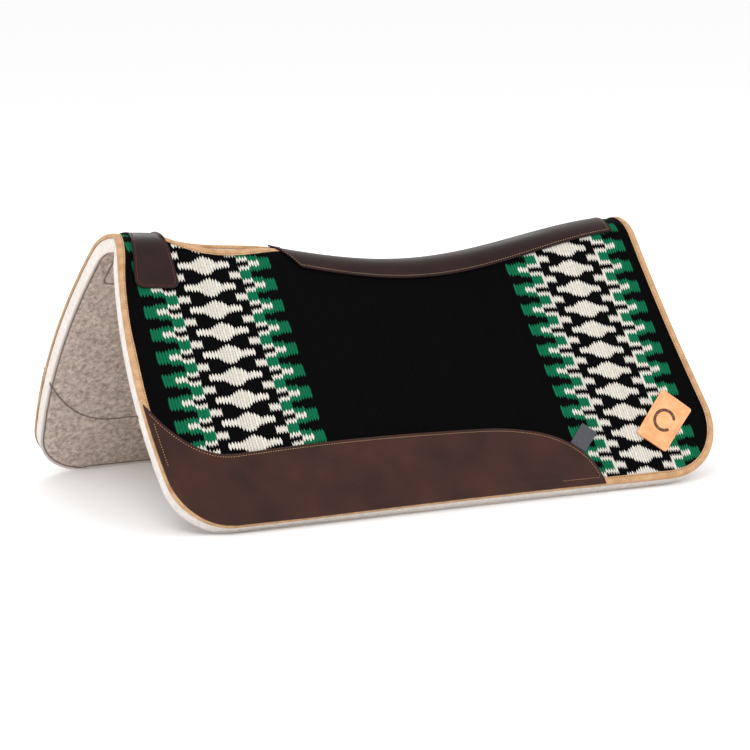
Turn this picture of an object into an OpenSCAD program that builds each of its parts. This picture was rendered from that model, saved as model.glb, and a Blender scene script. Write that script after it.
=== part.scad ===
// Contoured western saddle pad: two felt halves under a woven blanket, joined
// along the spine, with leather wear panels, a spine strip and a withers patch.
//
// Frame: X runs along the spine from the withers to the rear, the near side is
// -Y, the off side +Y, and Z is up. The pad stands on the lower edges of its
// two flaps, with its origin on the ground below the middle of the spine. A
// place on the pad is [x, s, t]: x along the spine from its front end, s the
// distance down from the ridge, and t the height off the blanket.

/* [Overall] */
// Length along the spine
pad_length = 800; // [640:10:960]
// Height of the ridge at the withers
withers_height = 374; // [340:2:450]
// Height of the ridge at the rear end
rear_height = 343; // [310:2:420]
// How far the ridge dips below the line from end to end
ridge_dip = 50; // [20:1:60]
// Half the distance between the lower edges at the front
front_spread = 250; // [208:2:300]
// Half the distance between the lower edges at the rear
rear_spread = 262; // [218:2:315]

/* [Ridge and outline] */
// Radius over the ridge at both ends
ridge_end_radius = 55; // [46:1:66]
// Radius over the ridge half way along
ridge_mid_radius = 34; // [31:1:42]
// How far the front edge bows forward
front_bow = 37; // [20:1:46]
// Distance down from the ridge to the fullest part of the bow
front_bow_at = 267; // [222:1:320]
// How far the rear edge sweeps back at the bottom
rear_sweep = 28; // [10:1:36]
// Radius of the front bottom corner
front_corner = 70; // [50:1:90]
// Radius of the rear bottom corner
rear_corner = 110; // [80:1:132]

/* [Layers] */
// Thickness of the woven blanket
blanket_t = 5; // [3:0.5:6]
// Thickness of the pale felt core
core_t = 16; // [12:0.5:17]
// Thickness of the brown felt against the horse
lining_t = 3; // [2:0.5:4]
// Gap between the two halves at the ridge
seam_gap = 0.3; // [0.2:0.1:1]

/* [Binding] */
// Width of the binding on the face of the blanket
binding_w = 9; // [6:0.5:12]
// Thickness of the binding
binding_t = 1.3; // [0.8:0.1:2]

/* [Withers vent] */
// Start of the vent, from the front end of the ridge
vent_from = 60; // [50:1:72]
// Length of the vent
vent_len = 190; // [150:1:228]
// Half the width of the vent, measured over the ridge
vent_half = 33; // [26:0.5:40]

/* [Leather] */
// Thickness of the leather pieces
leather_t = 2; // [1.5:0.1:3]
// Height of the wear leather above the bottom edge
wear_h = 102; // [82:1:123]
// How much higher its middle stands
wear_crown = 6; // [0:1:12]
// How much further it climbs at the front edge
wear_hook = 69; // [40:1:80]
// Rear end of the wear leather, from the front end of the ridge
wear_to = 612; // [500:1:650]
// Length of its rounded rear end
wear_round = 162; // [100:1:180]
// Length of the row of stitches that holds its bottom rear corner
wear_catch = 60; // [30:5:90]
// Start of the spine leather
spine_from = 232; // [215:1:245]
// Length of its pointed front tip
spine_tip = 35; // [20:1:50]
// Margin from the rear end of the spine leather to the rear edge
spine_margin = 34; // [20:1:60]
// Half the width of the spine leather at its ends
spine_half = 39; // [32:0.5:47]
// How much wider the spine leather is half way along
spine_swell = 4; // [0:0.5:8]
// Margin between the withers patch and the front edge
withers_margin = 21; // [14:1:26]
// Rear edge of the withers patch, from the front end of the ridge
withers_to = 65; // [58:1:72]
// Distance that the withers patch reaches down each side
withers_drop = 102; // [70:1:120]
// Radius of its lower corners
withers_corner = 13; // [6:1:18]

/* [Maker's patch and label] */
// Length of the maker's patch
patch_len = 86; // [70:1:100]
// Width of the maker's patch
patch_w = 52; // [40:1:62]
// Thickness of the maker's patch
patch_t = 3; // [2:0.1:4]
// Tilt of its long side from the line of the spine
patch_tilt = 41; // [30:1:50]
// Distance of its centre from the rear edge
patch_back = 62; // [60:1:90]
// Distance of its centre down from the ridge
patch_down = 348; // [300:1:350]
// Length of the care label that shows
label_len = 36; // [20:1:45]
// Width of the care label
label_w = 26; // [15:1:32]
// Thickness of the care label
label_t = 0.7; // [0.4:0.1:1]
// Distance of its root from the rear end of the wear leather
label_back = 22; // [16:1:30]

/* [Stitching] */
// Thickness of the sewing thread
thread = 0.9; // [0.6:0.1:1.4]
// Distance of a stitch line from a leather edge
stitch_in = 4; // [3:0.5:6]

/* [Hidden] */

pad_t = blanket_t + core_t + lining_t;
// The leather lies over the binding and clears it by this much.
lift = 0.4;
leather_lo = binding_t + lift;
leather_hi = leather_lo + leather_t;
// Threads lie on what they sew with this much air, as the halves move apart.
thread_air = 0.3;
// Shape of the ridge's dip: how far back it lies, and how wide it is.
dip_back = 1.14;
dip_wide = 1.85;
// Shape of the vent's two ends, blunt at the front and tapered at the rear.
vent_blunt = 0.6;
vent_taper = 1.1;
// The binding lies this clear of the blanket it is folded over.
fold_air = 0.4;
// The wear leather's top edge: it climbs to the front from wear_low over
// hook_len with a power of hook_bend, it is crowned over crown_len, and its
// rear end is a rounded corner of power wear_bluff.
wear_low = 76;
hook_len = 104;
hook_bend = 2.2;
crown_len = 440;
wear_bluff = 2.3;
// The leanest that a pointed or rounded end gets, as a share of its width.
blunt_tip = 0.03;
// The label stands this far out from the leather's edge.
label_air = 2;
// Where the flank's wide stations start, down from the ridge.
flank_from = 70;

// ---- The curved surface of the pad --------------------------------------

function mix(a, b, f) = a + (b - a) * f;
function clamp(v) = min(1, max(0, v));
function along(x) = x / pad_length;
function ridge_z(x) = mix(withers_height, rear_height, along(x))
  - ridge_dip * pow(max(0, sin(180 * pow(clamp(along(x)), dip_back))), dip_wide);
function ridge_r(x) = ridge_end_radius
  - (ridge_end_radius - ridge_mid_radius) * 4 * along(x) * (1 - along(x));
function spread(x) = mix(front_spread, rear_spread, along(x));
// Angle of the flap from upright: its inner face just touches the ridge's
// inner radius and reaches the ground at the spread.
function flap(x) = acos((ridge_r(x) - pad_t)
  / norm([spread(x), ridge_z(x) - ridge_r(x)]))
  - atan2(ridge_z(x) - ridge_r(x), spread(x));
function arc_len(x) = ridge_r(x) * (90 - flap(x)) * PI / 180;
// Distance from the ridge to the bottom edge, measured over the blanket.
function drop(x) = arc_len(x) + (ridge_z(x) - ridge_r(x)
  + (ridge_r(x) - pad_t) * sin(flap(x))) / cos(flap(x));
// A point on one side, with y counted outwards from the ridge.
function half_point(x, s, t) =
  let (r = ridge_r(x), b = flap(x), a = min(s / r * 180 / PI, 90 - b),
    e = max(s - arc_len(x), 0))
  [x, (r + t) * sin(a) + e * sin(b),
    ridge_z(x) - r + (r + t) * cos(a) - e * cos(b)];
// A point on the whole pad: s is positive on the near side, -Y.
function pad_point(x, s, t) = let (p = half_point(x, abs(s), t))
  [p.x - pad_length / 2, s < 0 ? p.y : -p.y, p.z];

// ---- The outline ----------------------------------------------------------

mean_drop = drop(pad_length / 2);
function front_x(s) = let (q = s / front_bow_at)
  -front_bow * (2 * q - q * q);
function rear_x(s) = pad_length + rear_sweep * pow(s / drop(pad_length), 2);
// How far a corner of radius r draws the edge in at a height above the bottom.
function corner_in(r, h) = let (e = max(0, r - h)) r - sqrt(max(0, r * r - e * e));
// Place in the flap: c runs 0 to 1 from front to rear, v from ridge to bottom.
function left_x(v) = let (d = drop(0))
  front_x(v * d) + corner_in(front_corner, (1 - v) * d);
function right_x(v) = let (d = drop(pad_length))
  rear_x(v * d) - corner_in(rear_corner, (1 - v) * d);
function flap_x(c, v) = mix(left_x(v), right_x(v), c);
function flap_at(c, v) = let (x = flap_x(c, v)) [x, v * drop(x)];

// Half the width of the withers vent at x, zero outside it.
vent_peak = vent_blunt / (vent_blunt + vent_taper);
function vent_curve(q) = q <= 0 || q >= 1 ? 0
  : pow(q, vent_blunt) * pow(1 - q, vent_taper);
function vent_s(x) = vent_half * vent_curve((x - vent_from) / vent_len)
  / vent_curve(vent_peak);

// Stations across the flap, closest at the ridge and at the bottom corners.
ridge_rows = [for (s = [0:10:50]) s / mean_drop];
flank_rows = [for (f = [0:0.25:1]) mix(flank_from / mean_drop,
  1 - rear_corner / mean_drop, f)];
corner_rows = [for (a = [12:13:90]) 1 - rear_corner / mean_drop * (1 - sin(a))];
rows = concat(ridge_rows, flank_rows, corner_rows);
// Stations along the spine, closest round the vent.
vent_stations = [0, 0.02, 0.06, 0.12, 0.2, 0.28, 0.36, 0.44, 0.52, 0.6, 0.68, 0.76, 0.84, 0.9, 0.96, 1];
vent_cols = [for (f = vent_stations) vent_from + vent_len * f];
back_cols = [for (f = [0.125:0.125:1])
  mix(vent_from + vent_len, pad_length, f)];
cols = [for (x = concat([0, vent_from / 2], vent_cols, back_cols)) x / pad_length];

// The whole flap as rows of [x, s], open at the vent.
flap_grid = [for (v = rows) [for (c = cols)
  let (p = flap_at(c, v)) [p.x, p.y + vent_s(c * pad_length) * (1 - v)]]];

// ---- Solids that follow the surface ---------------------------------------

// A closed skin between two layers of the same grid of points.
module skin(outer, inner) {
  m = len(outer);
  n = len(outer[0]);
  k = m * n;
  function at(j, i) = j * n + i;
  points = [for (layer = [outer, inner]) for (row = layer) for (p = row) p];
  rim = concat([for (i = [0:n - 1]) at(0, i)], [for (j = [1:m - 1]) at(j, n - 1)],
    [for (i = [n - 2:-1:0]) at(m - 1, i)], [for (j = [m - 2:-1:1]) at(j, 0)]);
  faces = concat(
    [for (j = [0:m - 2]) for (i = [0:n - 2]) [at(j, i), at(j + 1, i + 1), at(j + 1, i)]],
    [for (j = [0:m - 2]) for (i = [0:n - 2]) [at(j, i), at(j, i + 1), at(j + 1, i + 1)]],
    [for (j = [0:m - 2]) for (i = [0:n - 2]) [k + at(j, i), k + at(j + 1, i), k + at(j + 1, i + 1)]],
    [for (j = [0:m - 2]) for (i = [0:n - 2]) [k + at(j, i), k + at(j + 1, i + 1), k + at(j, i + 1)]],
    [for (e = [0:len(rim) - 1]) let (a = rim[e], b = rim[(e + 1) % len(rim)]) [a, k + b, b]],
    [for (e = [0:len(rim) - 1]) let (a = rim[e], b = rim[(e + 1) % len(rim)]) [a, k + a, k + b]]);
  polyhedron(points, faces);
}

// A sheet over a grid of [x, s], from height t_in to t_out off the blanket.
module sheet(grid, t_in, t_out) {
  skin([for (row = grid) [for (q = row) pad_point(q.x, q.y, t_out)]],
    [for (row = grid) [for (q = row) pad_point(q.x, q.y, t_in)]]);
}

// The same for one half of the pad, which stops short of the middle.
module half_sheet(grid, t_in, t_out) {
  translate([0, -seam_gap / 2, 0]) sheet(grid, t_in, t_out);
}

// Direction across a path of [x, s] at its point k, to its left.
function across(path, k) = let (a = path[max(k - 1, 0)],
  b = path[min(k + 1, len(path) - 1)], d = (b - a) / norm(b - a)) [-d.y, d.x];
// The ends of a path that meets the ridge are cut square, along the spine.
function square_across(path, k) = k > 0 && k < len(path) - 1 ? across(path, k)
  : let (d = across(path, k)) [sign(d.x), 0];

// A strip swept along a path. The section is a ring of [w, t]: w to the left
// of the path and t off the blanket.
module strip(path, section, ends_square = false) {
  n = len(section);
  m = len(path);
  points = [for (k = [0:m - 1])
    let (d = ends_square ? square_across(path, k) : across(path, k))
    for (q = section) let (p = path[k] + d * q.x) pad_point(p.x, p.y, q.y)];
  walls = [for (k = [0:m - 2]) for (i = [0:n - 1])
    let (a = k * n + i, b = k * n + (i + 1) % n)
    each [[a, a + n, b + n], [a, b + n, b]]];
  polyhedron(points, concat(walls, [[for (i = [0:n - 1]) i],
    [for (i = [n - 1:-1:0]) (m - 1) * n + i]]));
}

// A line of thread lying on a surface at height t.
module thread_line(path, t, ends_square = false) {
  strip(path, [[-thread / 2, t + thread_air], [-thread / 2, t + thread_air + thread],
    [thread / 2, t + thread_air + thread], [thread / 2, t + thread_air]], ends_square);
}

module on_half() translate([0, -seam_gap / 2, 0]) children();
module off_side() mirror([0, 1, 0]) children();

// ---- Felt and blanket -----------------------------------------------------

module felt_core() color("#d8cfc8")
  half_sheet(flap_grid, -blanket_t - core_t, -blanket_t);
module felt_lining() color("#ab9c90")
  half_sheet(flap_grid, -pad_t, -blanket_t - core_t);
module blanket() color("#14181a")
  half_sheet(flap_grid, -blanket_t, 0);

// ---- Binding --------------------------------------------------------------

// The edge of the flap, down the front, along the bottom and up the rear.
last_row = len(rows) - 1;
last_col = len(cols) - 1;
edge_path = concat([for (j = [0:last_row]) flap_grid[j][0]],
  [for (i = [1:last_col - 1]) flap_grid[last_row][i]],
  [for (j = [last_row:-1:0]) flap_grid[j][last_col]]);
// The edge of the vent, clear of the middle of the ridge at both ends.
vent_path = [for (k = [1:len(vent_cols) - 2]) [vent_cols[k], vent_s(vent_cols[k])]];

// A U-shaped fold over the blanket's edge, open at the felt: the width on the
// face, then over the edge and down beside the blanket.
function fold(side) = [[-side * binding_w, fold_air], [-side * binding_w, binding_t],
  [side * binding_t, binding_t], [side * binding_t, -blanket_t],
  [side * fold_air, -blanket_t], [side * fold_air, fold_air]];

module edge_binding() color("#d0a878") on_half()
  strip(edge_path, fold(1), true);
module vent_binding() color("#d0a878") on_half()
  strip(vent_path, [for (i = [5:-1:0]) fold(-1)[i]]);

// ---- Wear leather ---------------------------------------------------------

// Height of the wear leather's top edge above the bottom edge.
function wear_height(x) =
  (wear_h + wear_crown * sin(180 * clamp((x - wear_low) / crown_len))
    + wear_hook * pow(max(0, (wear_low - x) / hook_len), hook_bend))
  * pow(max(pow(blunt_tip, wear_bluff),
    1 - pow(max(0, (x - wear_to + wear_round) / wear_round), wear_bluff)), 1 / wear_bluff);
// Place in the wear leather: f runs 0 to 1 from the front edge to its rear end.
function wear_at(f, v) = let (x = mix(left_x(v), wear_to, f)) [x, v * drop(x)];
function wear_v(f) = let (x = mix(left_x(1 - wear_h / mean_drop), wear_to, f))
  1 - wear_height(x) / drop(x);
wear_cols = concat([for (f = [0:0.08:0.72]) f],
  [for (a = [15:15:90]) 0.72 + 0.28 * sin(a)]);
wear_grid = [for (j = [0:0.125:1]) [for (f = wear_cols)
  wear_at(f, mix(wear_v(f), 1, j))]];
// Stitch line along the top edge.
wear_edge = [for (f = wear_cols) wear_at(f, wear_v(f))];
wear_top = [for (k = [1:len(wear_edge) - 2])
  wear_edge[k] + across(wear_edge, k) * stitch_in];
// The bottom is caught down by two short rows, one at each end.
wear_front = [for (f = [0.05:0.15:0.5]) let (v = mix(wear_v(0), 1, f))
  [left_x(v) + stitch_in * 2, v * drop(left_x(v))]];
wear_rear = [for (x = [wear_to - wear_catch:10:wear_to - stitch_in])
  [x, drop(x) - stitch_in * 2]];

module wear_leather() color("#4a2c24") on_half()
  sheet(wear_grid, leather_lo, leather_hi);

// ---- Spine leather and withers patch --------------------------------------

spine_to = pad_length - spine_margin;
function spine_w(x) = let (f = (x - spine_from) / (spine_to - spine_from))
  (spine_half + spine_swell * pow(sin(180 * f), 2))
  * min(1, max(blunt_tip, (x - spine_from) / spine_tip));
spine_cols = concat([for (f = [0:0.2:1]) spine_from + spine_tip * f],
  [for (f = [0.0625:0.0625:1]) mix(spine_from + spine_tip, spine_to, f)]);
spine_grid = [for (j = [1:-0.2:-1]) [for (x = spine_cols) [x, -j * spine_w(x)]]];

module spine_leather() color("#3f2520")
  sheet(spine_grid, leather_lo, leather_hi);

function withers_in(s) = corner_in(withers_corner, withers_drop - abs(s));
withers_rows = concat([for (a = [90:-30:0]) -withers_drop + withers_corner * (1 - sin(a))],
  [for (f = [-0.9:0.1:0.9]) f * (withers_drop - withers_corner)],
  [for (a = [0:30:90]) withers_drop - withers_corner * (1 - sin(a))]);
withers_grid = [for (s = withers_rows) [for (f = [0:0.25:1])
  [mix(front_x(abs(s)) + withers_margin + withers_in(s), withers_to - withers_in(s), f), s]]];

module withers_patch() color("#3f2520")
  sheet(withers_grid, leather_lo, leather_hi);

// ---- Maker's patch and care label ------------------------------------------

// A rectangle turned on the flap: u along its length and w across it.
function turned(centre, tilt, u, w) = centre
  + u * [-cos(tilt), sin(tilt)] + w * [sin(tilt), cos(tilt)];
patch_centre = [pad_length - patch_back, patch_down];
function patch_at(u, w) = turned(patch_centre, patch_tilt, u, w);
patch_grid = [for (w = [-0.5:0.25:0.5]) [for (u = [0.5:-0.25:-0.5])
  patch_at(u * patch_len, w * patch_w)]];

module makers_patch() color("#dca070") on_half()
  sheet(patch_grid, 0, patch_t);

// The label comes out from under the rounded end of the wear leather. Its
// lower edge is held down there, and it lifts about that edge.
label_tilt = 40;
label_out = [cos(label_tilt), -sin(label_tilt)];
label_down = [sin(label_tilt), cos(label_tilt)];
label_x = wear_to - label_back;
label_root = [label_x, drop(label_x) - wear_height(label_x)] + label_air * label_out;
label_grid = [for (w = [-0.5, 0.5]) [for (u = [0, 1])
  label_root + u * label_len * label_out + w * label_w * label_down]];

module care_label() color("#2a2c30") on_half()
  sheet(label_grid, thread_air, thread_air + label_t);

// ---- Stitching ------------------------------------------------------------

function inset(path, k, d) = path[k] - square_across(path, k) * d;
seam_w = binding_w - stitch_in / 2;
edge_seam = [for (k = [0:len(edge_path) - 1]) inset(edge_path, k, seam_w)];
// The binding's stitches show above and behind the wear leather.
front_seam = [for (k = [0:last_row]) if (edge_seam[k].y
  < drop(0) - wear_h - wear_hook - stitch_in) edge_seam[k]];
rear_seam = [for (k = [last_row:len(edge_seam) - 1]) if (edge_seam[k].x
  > wear_to + stitch_in) edge_seam[k]];
// The vent's stitches show between the withers patch and the spine leather.
vent_seam = [for (k = [1:len(vent_path) - 2]) let (p = inset(vent_path, k, -seam_w))
  if (p.x > withers_to + stitch_in && p.x < spine_from - stitch_in) p];
spine_end = spine_to - stitch_in;
spine_stitches = concat([[spine_from + stitch_in * 1.4, thread]],
  [for (k = [1:len(spine_cols) - 2]) [spine_cols[k], spine_w(spine_cols[k]) - stitch_in]],
  [for (f = [1:-0.2:0]) [spine_end, mix(thread, spine_half - stitch_in, f)]]);
function withers_seam(s, f) = [mix(front_x(s) + withers_margin + stitch_in + withers_in(s + stitch_in),
  withers_to - stitch_in - withers_in(s + stitch_in), f), s];
withers_run = [for (f = [0:0.125:1]) mix(thread, withers_drop - withers_corner, f)];
withers_bend = [for (a = [30:30:90]) withers_drop - stitch_in
  - (withers_corner - stitch_in) * (1 - sin(a))];
withers_stitches = concat([for (s = withers_run) withers_seam(s, 0)],
  [for (s = withers_bend) withers_seam(s, 0)],
  [for (i = [2:-1:0]) withers_seam(withers_bend[i], 1)],
  [for (i = [8:-1:0]) withers_seam(withers_run[i], 1)]);
patch_stitches = [for (q = [[-1, -1], [1, -1], [1, 1], [-1, 1], [-1, -1]])
  patch_at(q.x * (patch_len / 2 - stitch_in), q.y * (patch_w / 2 - stitch_in))];

module thread_colour() color("#b98a5c") on_half() children();
module binding_stitching() thread_colour() {
  thread_line(front_seam, binding_t, true);
  thread_line(rear_seam, binding_t, true);
}
module vent_stitching() thread_colour() thread_line(vent_seam, binding_t);
module wear_stitching() thread_colour() {
  thread_line(wear_top, leather_hi);
  thread_line(wear_front, leather_hi);
  thread_line(wear_rear, leather_hi);
}
module spine_stitching() thread_colour() thread_line(spine_stitches, leather_hi, true);
module withers_stitching() thread_colour() thread_line(withers_stitches, leather_hi, true);
module makers_patch_stitching() thread_colour() thread_line(patch_stitches, patch_t);

// ---- The pieces -----------------------------------------------------------

module felt_core_near() felt_core();
module felt_core_off() off_side() felt_core();
module felt_lining_near() felt_lining();
module felt_lining_off() off_side() felt_lining();
module blanket_near() blanket();
module blanket_off() off_side() blanket();
module edge_binding_near() edge_binding();
module edge_binding_off() off_side() edge_binding();
module vent_binding_near() vent_binding();
module vent_binding_off() off_side() vent_binding();
module wear_leather_near() wear_leather();
module wear_leather_off() off_side() wear_leather();
module binding_stitching_near() binding_stitching();
module binding_stitching_off() off_side() binding_stitching();
module vent_stitching_near() vent_stitching();
module vent_stitching_off() off_side() vent_stitching();
module wear_stitching_near() wear_stitching();
module wear_stitching_off() off_side() wear_stitching();
module spine_stitching_near() spine_stitching();
module spine_stitching_off() off_side() spine_stitching();
module withers_stitching_near() withers_stitching();
module withers_stitching_off() off_side() withers_stitching();

felt_core_near();
felt_core_off();
felt_lining_near();
felt_lining_off();
blanket_near();
blanket_off();
edge_binding_near();
edge_binding_off();
vent_binding_near();
vent_binding_off();
wear_leather_near();
wear_leather_off();
spine_leather();
withers_patch();
binding_stitching_near();
binding_stitching_off();
vent_stitching_near();
vent_stitching_off();
wear_stitching_near();
wear_stitching_off();
spine_stitching_near();
spine_stitching_off();
withers_stitching_near();
withers_stitching_off();
makers_patch();
makers_patch_stitching();
care_label();
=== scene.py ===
"""Looks of a contoured western saddle pad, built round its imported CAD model.

Lengths are in metres. A place on the pad is (x, s, t): x along the spine from
its front end, s the distance down from the ridge, t the height off the blanket.
"""
import math
import random

import bmesh
import bpy
from mathutils import Matrix, Vector, kdtree, noise


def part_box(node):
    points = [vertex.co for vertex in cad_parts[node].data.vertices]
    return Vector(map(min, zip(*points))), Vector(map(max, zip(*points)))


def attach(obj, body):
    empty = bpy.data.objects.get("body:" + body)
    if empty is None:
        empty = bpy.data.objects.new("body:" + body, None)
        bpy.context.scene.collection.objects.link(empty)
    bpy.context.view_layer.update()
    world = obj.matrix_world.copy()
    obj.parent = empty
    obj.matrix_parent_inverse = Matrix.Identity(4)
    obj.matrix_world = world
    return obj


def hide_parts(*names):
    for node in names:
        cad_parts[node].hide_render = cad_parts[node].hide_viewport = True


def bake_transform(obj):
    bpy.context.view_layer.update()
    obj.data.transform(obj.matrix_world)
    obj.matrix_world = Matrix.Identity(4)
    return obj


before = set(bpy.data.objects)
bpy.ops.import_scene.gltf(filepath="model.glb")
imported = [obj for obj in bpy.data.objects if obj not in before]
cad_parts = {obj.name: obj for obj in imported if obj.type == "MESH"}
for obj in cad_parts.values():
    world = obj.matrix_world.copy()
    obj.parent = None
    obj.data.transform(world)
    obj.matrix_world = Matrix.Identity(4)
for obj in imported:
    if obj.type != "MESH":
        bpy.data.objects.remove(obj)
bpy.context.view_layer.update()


# ---- Camera and studio -----------------------------------------------------
# A long lens stands well back on the near side, in front of the withers. The
# studio is a pale sweep of floor under a soft, even sky and three soft boxes.

camera_azimuth = math.radians(-27.2)
camera_elevation = math.radians(9.8)
camera_roll = math.radians(-0.55)
camera_distance = 5.354
camera_target = Vector((-0.002, 0.001, 0.1452))
lens_mm = 181.0


def hex_colour(code):
    """An sRGB hex colour as linear RGBA."""
    parts = [int(code[i:i + 2], 16) / 255 for i in (1, 3, 5)]
    return [c / 12.92 if c <= 0.04045 else ((c + 0.055) / 1.055) ** 2.4 for c in parts] + [1.0]


def add_node(tree, kind, inputs=None, **settings):
    """Adds a node, sets its settings, and fills its inputs with values or links."""
    node = tree.nodes.new(kind)
    for key, value in settings.items():
        setattr(node, key, value)
    for key, value in (inputs or {}).items():
        if isinstance(value, bpy.types.NodeSocket):
            tree.links.new(value, node.inputs[key])
        else:
            node.inputs[key].default_value = value
    return node


def point_at(thing, target, roll=0.0):
    """Turns a camera or lamp to look at a point."""
    aim = (target - thing.location).to_track_quat("-Z", "Y")
    thing.rotation_euler = (aim.to_matrix() @ Matrix.Rotation(roll, 3, "Z")).to_euler()


camera_back = Vector((math.sin(camera_azimuth) * math.cos(camera_elevation),
                      -math.cos(camera_azimuth) * math.cos(camera_elevation),
                      math.sin(camera_elevation)))
camera = bpy.data.objects.new("camera", bpy.data.cameras.new("camera"))
bpy.context.collection.objects.link(camera)
camera.location = camera_target + camera_back * camera_distance
point_at(camera, camera_target, camera_roll)
camera.data.lens = lens_mm
camera.data.sensor_width = 36
camera.data.clip_end = 200
bpy.context.scene.camera = camera
bpy.context.scene.view_settings.view_transform = "Standard"

sky = bpy.data.worlds.new("studio_sky")
sky.use_nodes = True
sky.node_tree.nodes["Background"].inputs["Color"].default_value = hex_colour("#ffffff")
sky.node_tree.nodes["Background"].inputs["Strength"].default_value = 1.0
bpy.context.scene.world = sky

# name, place, width, height, power in watts
soft_boxes = [("key_box", (-2.2, -2.6, 3.0), 2.2, 1.6, 70),
              ("fill_box", (2.8, -2.4, 1.6), 1.8, 1.8, 30),
              ("back_box", (0.6, 3.0, 2.6), 2.4, 1.2, 45)]
for name, place, width, height, power in soft_boxes:
    lamp = bpy.data.lights.new(name, "AREA")
    lamp.shape = "RECTANGLE"
    lamp.size, lamp.size_y, lamp.energy = width, height, power
    box = bpy.data.objects.new(name, lamp)
    bpy.context.collection.objects.link(box)
    box.location = place
    point_at(box, Vector((0, 0, 0.15)))

floor_mesh = bmesh.new()
bmesh.ops.create_circle(floor_mesh, cap_ends=True, segments=96, radius=40)
floor = bpy.data.objects.new("studio_floor", bpy.data.meshes.new("studio_floor"))
floor_mesh.to_mesh(floor.data)
floor_mesh.free()
bpy.context.collection.objects.link(floor)
paper = bpy.data.materials.new("backdrop_paper")
paper.use_nodes = True
paper.node_tree.nodes["Principled BSDF"].inputs["Base Color"].default_value = hex_colour("#fbfbfb")
paper.node_tree.nodes["Principled BSDF"].inputs["Roughness"].default_value = 1.0
paper.node_tree.nodes["Principled BSDF"].inputs["Specular IOR Level"].default_value = 0.0
floor.data.materials.append(paper)


# ---- Felt core -------------------------------------------------------------
# Two flat sheets of pressed wool felt, cut to a curved outline, moulded over a
# form and joined along the ridge. Their pale cut edge stays bare all round.

pad_length = 0.800
withers_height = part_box("blanket_near")[1].z
rear_height = 0.343
ridge_dip, dip_back, dip_wide = 0.050, 1.14, 1.85
front_spread, rear_spread = 0.250, 0.262
ridge_end_radius, ridge_mid_radius = 0.055, 0.034
blanket_t, core_t, lining_t = 0.005, 0.016, 0.003
pad_t = blanket_t + core_t + lining_t
front_bow, front_bow_at = 0.037, 0.267
rear_sweep = 0.028
front_corner, rear_corner = 0.070, 0.110
vent_from, vent_len, vent_half = 0.060, 0.190, 0.033
vent_blunt, vent_taper = 0.6, 1.1
near, off = -1, 1
HALVES = {"near": near, "off": off}


def mix(a, b, f):
    return a + (b - a) * f


def dip_at(u):
    """Share of the ridge's dip reached at u, from 0 at the front to 1 at the rear."""
    return max(0.0, math.sin(math.pi * min(1.0, max(0.0, u)) ** dip_back)) ** dip_wide


def ridge_z(x):
    u = x / pad_length
    return mix(withers_height, rear_height, u) - ridge_dip * dip_at(u)


def ridge_r(x):
    u = x / pad_length
    return ridge_end_radius - (ridge_end_radius - ridge_mid_radius) * 4 * u * (1 - u)


def flap_angle(x):
    """Angle of the flap from upright at x."""
    spread = mix(front_spread, rear_spread, x / pad_length)
    rise = ridge_z(x) - ridge_r(x)
    return math.acos((ridge_r(x) - pad_t) / math.hypot(spread, rise)) - math.atan2(rise, spread)


def drop(x):
    """Distance from the ridge down to the bottom edge at x."""
    r, b = ridge_r(x), flap_angle(x)
    return r * (math.pi / 2 - b) + (ridge_z(x) - r + (r - pad_t) * math.sin(b)) / math.cos(b)


def on_pad(x, s, t):
    """The place (x, s, t) in the row frame. Positive s is the near side."""
    r, b = ridge_r(x), flap_angle(x)
    bend = min(abs(s) / r, math.pi / 2 - b)
    flat = max(0.0, abs(s) - r * (math.pi / 2 - b))
    y = (r + t) * math.sin(bend) + flat * math.sin(b)
    z = ridge_z(x) - r + (r + t) * math.cos(bend) - flat * math.cos(b)
    return Vector((x - pad_length / 2, -math.copysign(y, s), z))


def off_pad(x, s, t, side):
    """The same on one half, where s is counted outwards on either side."""
    place = on_pad(x, s, t)
    return Vector((place.x, side * abs(place.y), place.z))


def corner_in(radius, height):
    """How far a rounded corner draws the edge in at a height above the bottom."""
    rest = max(0.0, radius - height)
    return radius - math.sqrt(max(0.0, radius * radius - rest * rest))


front_drop, rear_drop = drop(0.0), drop(pad_length)


def front_x(s):
    q = s / front_bow_at
    return -front_bow * (2 * q - q * q)


def left_x(v):
    return front_x(v * front_drop) + corner_in(front_corner, (1 - v) * front_drop)


def right_x(v):
    return (pad_length + rear_sweep * v * v
            - corner_in(rear_corner, (1 - v) * rear_drop))


def flap_place(c, v):
    """Place (x, s) in a flap: c from front to rear, v from ridge to bottom."""
    x = mix(left_x(v), right_x(v), c)
    return x, v * drop(x)


def vent_edge(x):
    """Half the width of the withers vent at x."""
    q = (x - vent_from) / vent_len
    if q <= 0 or q >= 1:
        return 0.0
    peak = vent_blunt / (vent_blunt + vent_taper)
    return vent_half * (q / peak) ** vent_blunt * ((1 - q) / (1 - peak)) ** vent_taper


def crowd(f, ends=0.35):
    """Moves evenly spaced stations closer to both ends of a run."""
    return f - ends * math.sin(2 * math.pi * f) / (2 * math.pi)


def cut_flap(columns, rows):
    """The flap's flat pattern as a bmesh of (x, s, 0), open at the vent."""
    bm = bmesh.new()
    bmesh.ops.create_grid(bm, x_segments=columns, y_segments=rows, size=0.5)
    for vert in bm.verts:
        c, v = crowd(vert.co.x + 0.5), crowd(vert.co.y + 0.5, 0.2)
        x, s = flap_place(c, v)
        vert.co = (x, s + vent_edge(c * pad_length) * (1 - v), 0)
    return bm


def thicken(bm, depth):
    """Gives a flat pattern its thickness, downwards from its face."""
    faces = bm.faces[:]
    made = bmesh.ops.extrude_face_region(bm, geom=faces, use_keep_orig=True)
    lower = [g for g in made["geom"] if isinstance(g, bmesh.types.BMVert)]
    bmesh.ops.translate(bm, verts=lower, vec=(0, 0, -depth))
    bmesh.ops.recalc_face_normals(bm, faces=bm.faces)
    return bm


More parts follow.
